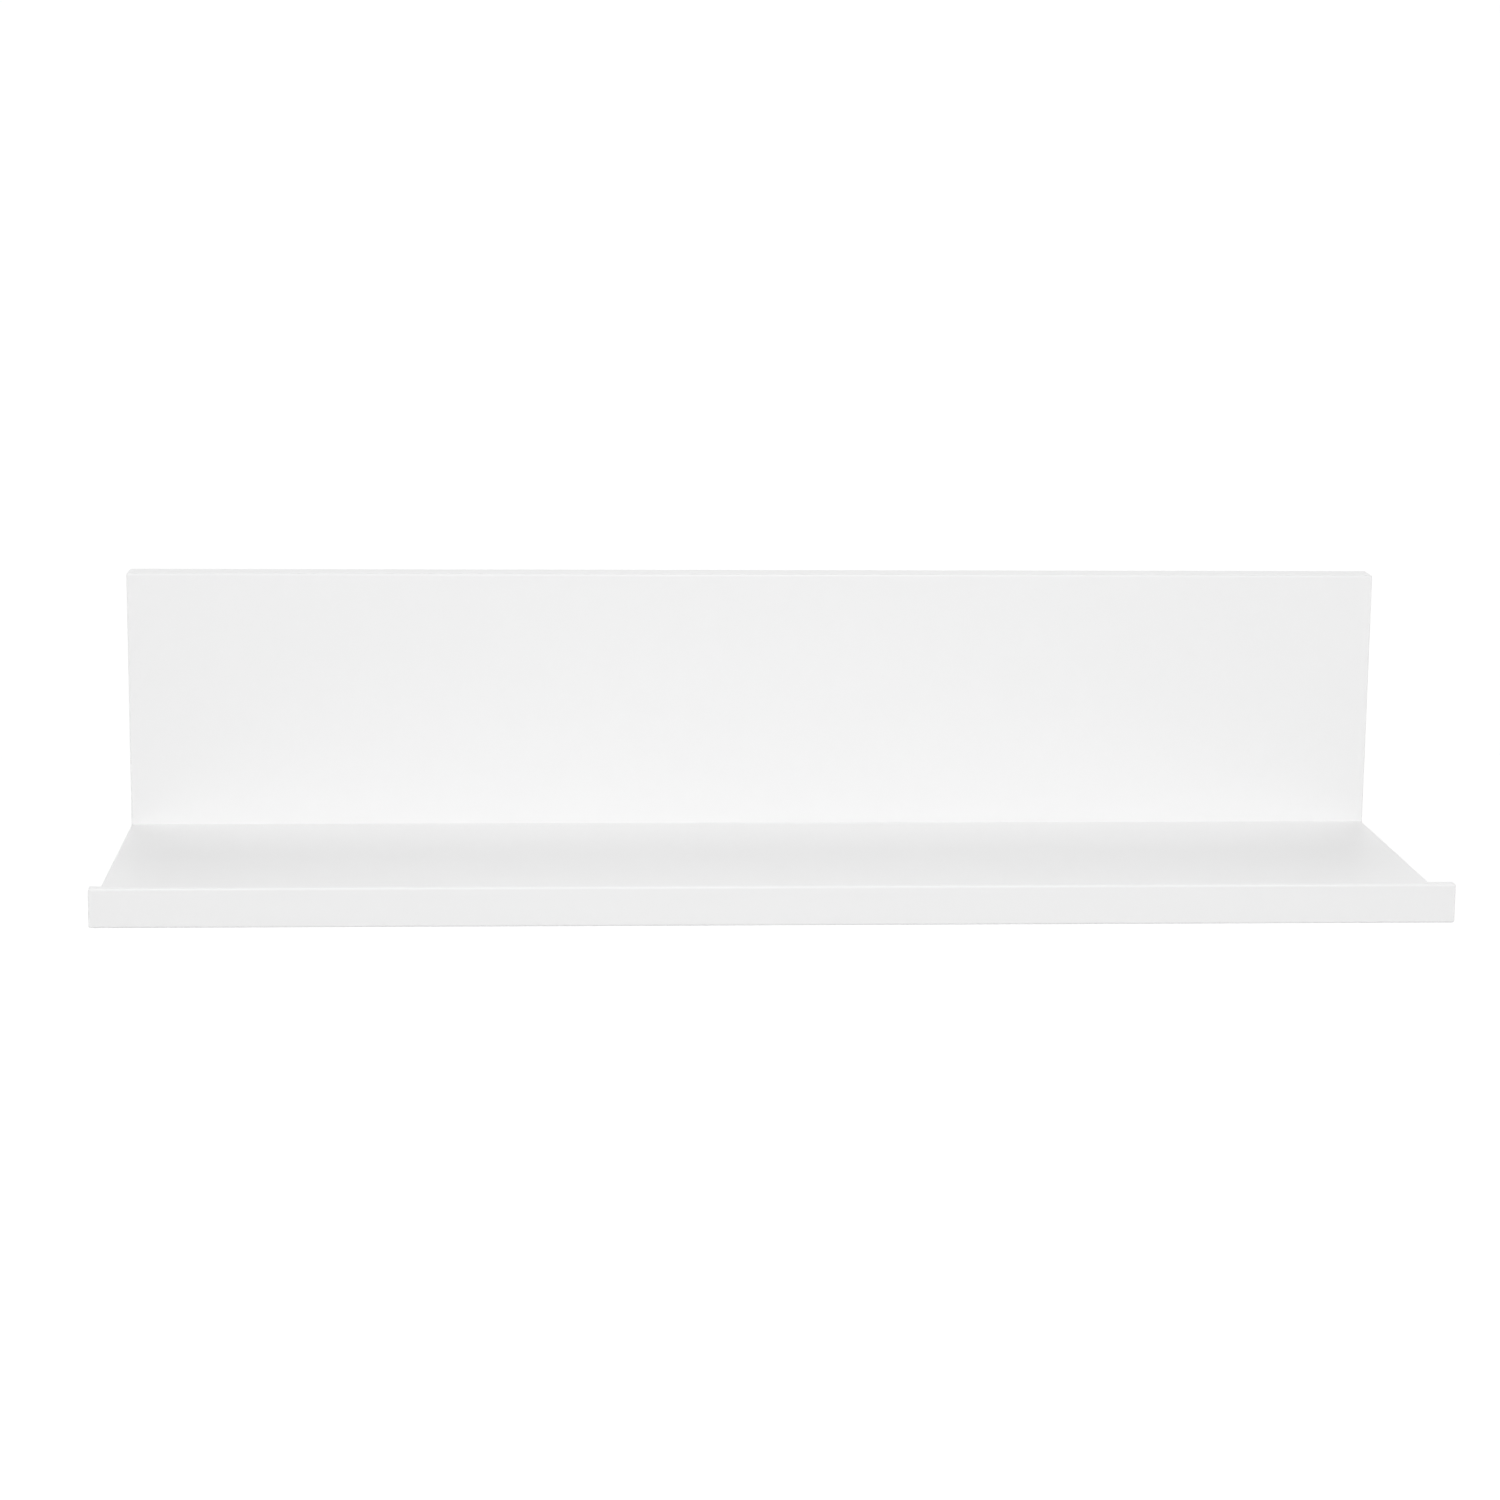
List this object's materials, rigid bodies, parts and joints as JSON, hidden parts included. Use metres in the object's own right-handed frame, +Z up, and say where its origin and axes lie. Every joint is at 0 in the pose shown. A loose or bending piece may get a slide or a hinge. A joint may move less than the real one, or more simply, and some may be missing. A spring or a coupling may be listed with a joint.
{
  "type": "floating wall shelf",
  "caption": "White floating picture ledge with a tall back panel, a flat shelf board, a low front lip and hidden keyhole hangers.",
  "frame": {"origin": "on the wall plane, midway between the seats of the two wall screws at the tops of the keyhole slots", "axes": "+X to the right seen from the front, along the shelf; +Y into the wall; +Z up"},
  "size_m": [0.61, 0.203, 0.132],
  "materials": {
    "white_lacquered_board": "medium-density fibreboard with a satin white lacquer",
    "zinc_plated_steel": "bright zinc plating",
    "bright_steel": "plain drawn wire",
    "beech": "bare turned beech with flutes"
  },
  "bodies": {
    "root": {"back_panel": "white_lacquered_board", "shelf_board": "white_lacquered_board", "front_lip": "white_lacquered_board", "board_screws": "zinc_plated_steel", "board_dowels": "beech", "lip_brads": "bright_steel", "keyhole_plate_left": "zinc_plated_steel", "keyhole_plate_right": "zinc_plated_steel", "keyhole_screws": "zinc_plated_steel"}
  },
  "joints": []
}
